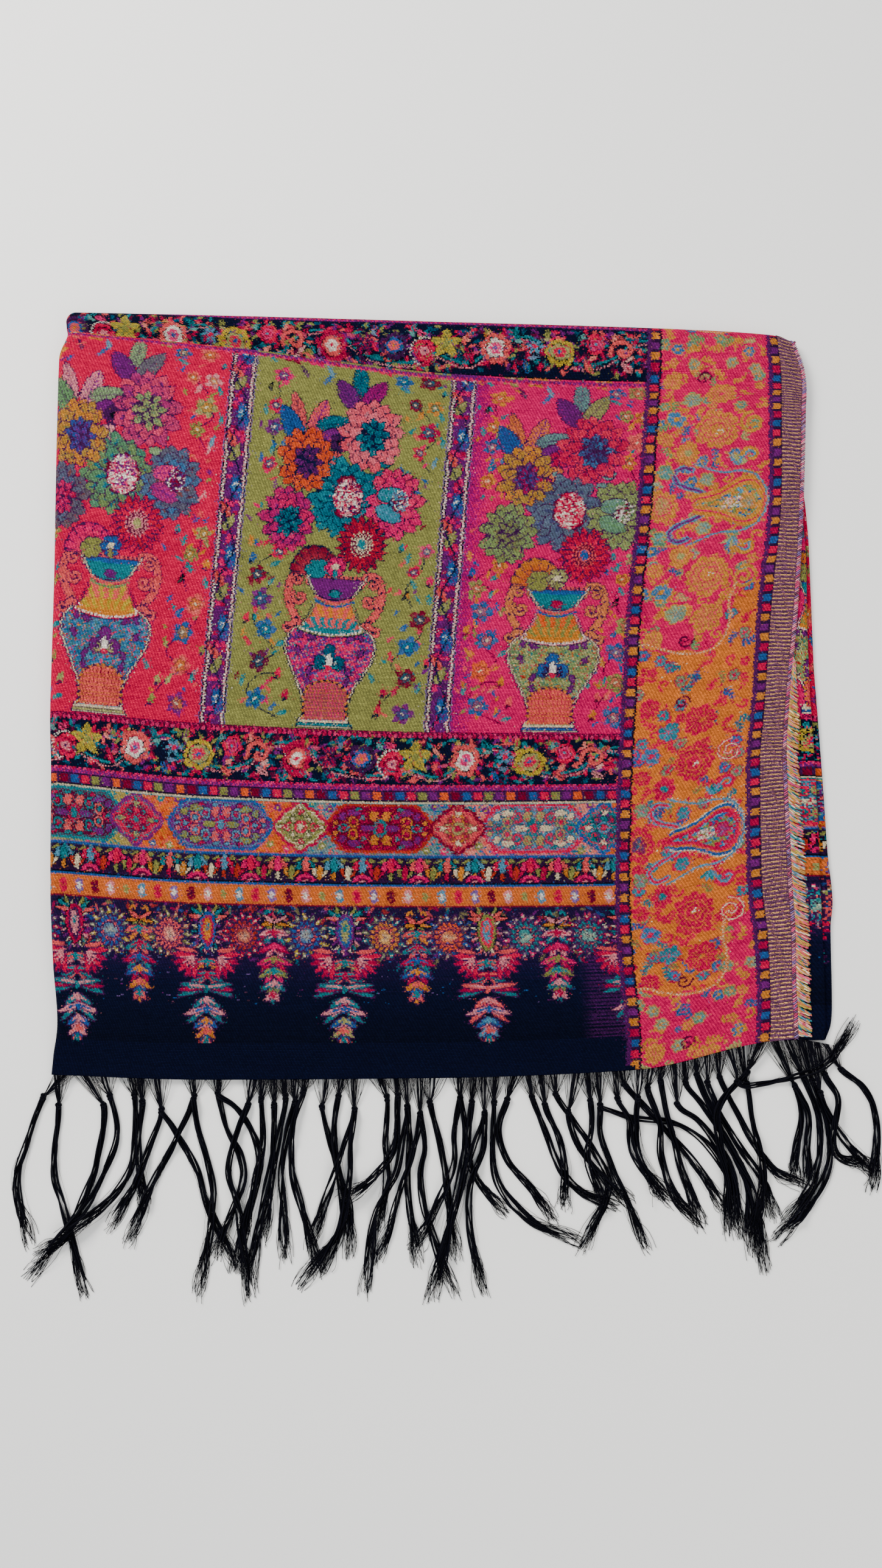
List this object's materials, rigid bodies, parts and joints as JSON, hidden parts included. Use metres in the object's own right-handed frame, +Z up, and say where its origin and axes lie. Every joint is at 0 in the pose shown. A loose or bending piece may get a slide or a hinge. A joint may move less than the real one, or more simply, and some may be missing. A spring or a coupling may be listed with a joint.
{
  "type": "folded woven shawl",
  "caption": "Kani-style woven shawl folded into a flat square pad, with flower-vase panels, a paisley side border, a ribbed selvage and a knotted black fringe along one hem.",
  "frame": {"origin": "on the surface it rests on, under the middle of the whole outline with its fringe", "axes": "+Z up, away from the surface; +Y from the fringe towards the top fold; +X from the left fold towards the selvage"},
  "size_m": [0.535, 0.6296, 0.0156],
  "materials": {
    "palla_cloth": "woven jacquard wool and silk in many colours with fine gold glints",
    "border_cloth": "woven jacquard, red and gold paisley ground",
    "selvage_cloth": "ribbed band with gold thread",
    "weft_ends": "short cut yarn ends in several colours",
    "inner_cloth": "woven jacquard seen at its folded edges",
    "layer_cloth": "woven jacquard seen at its folded edges",
    "fringe_yarn": "soft twisted black yarn, knotted"
  },
  "bodies": {
    "root": {"palla_field": "palla_cloth", "side_border": "border_cloth", "selvage_band": "selvage_cloth", "yarn_edge": "weft_ends", "folded_layers": "inner_cloth", "second_layer": "layer_cloth", "third_layer": "layer_cloth", "fringe_left": "fringe_yarn", "fringe_middle": "fringe_yarn", "fringe_right": "fringe_yarn"}
  },
  "joints": []
}
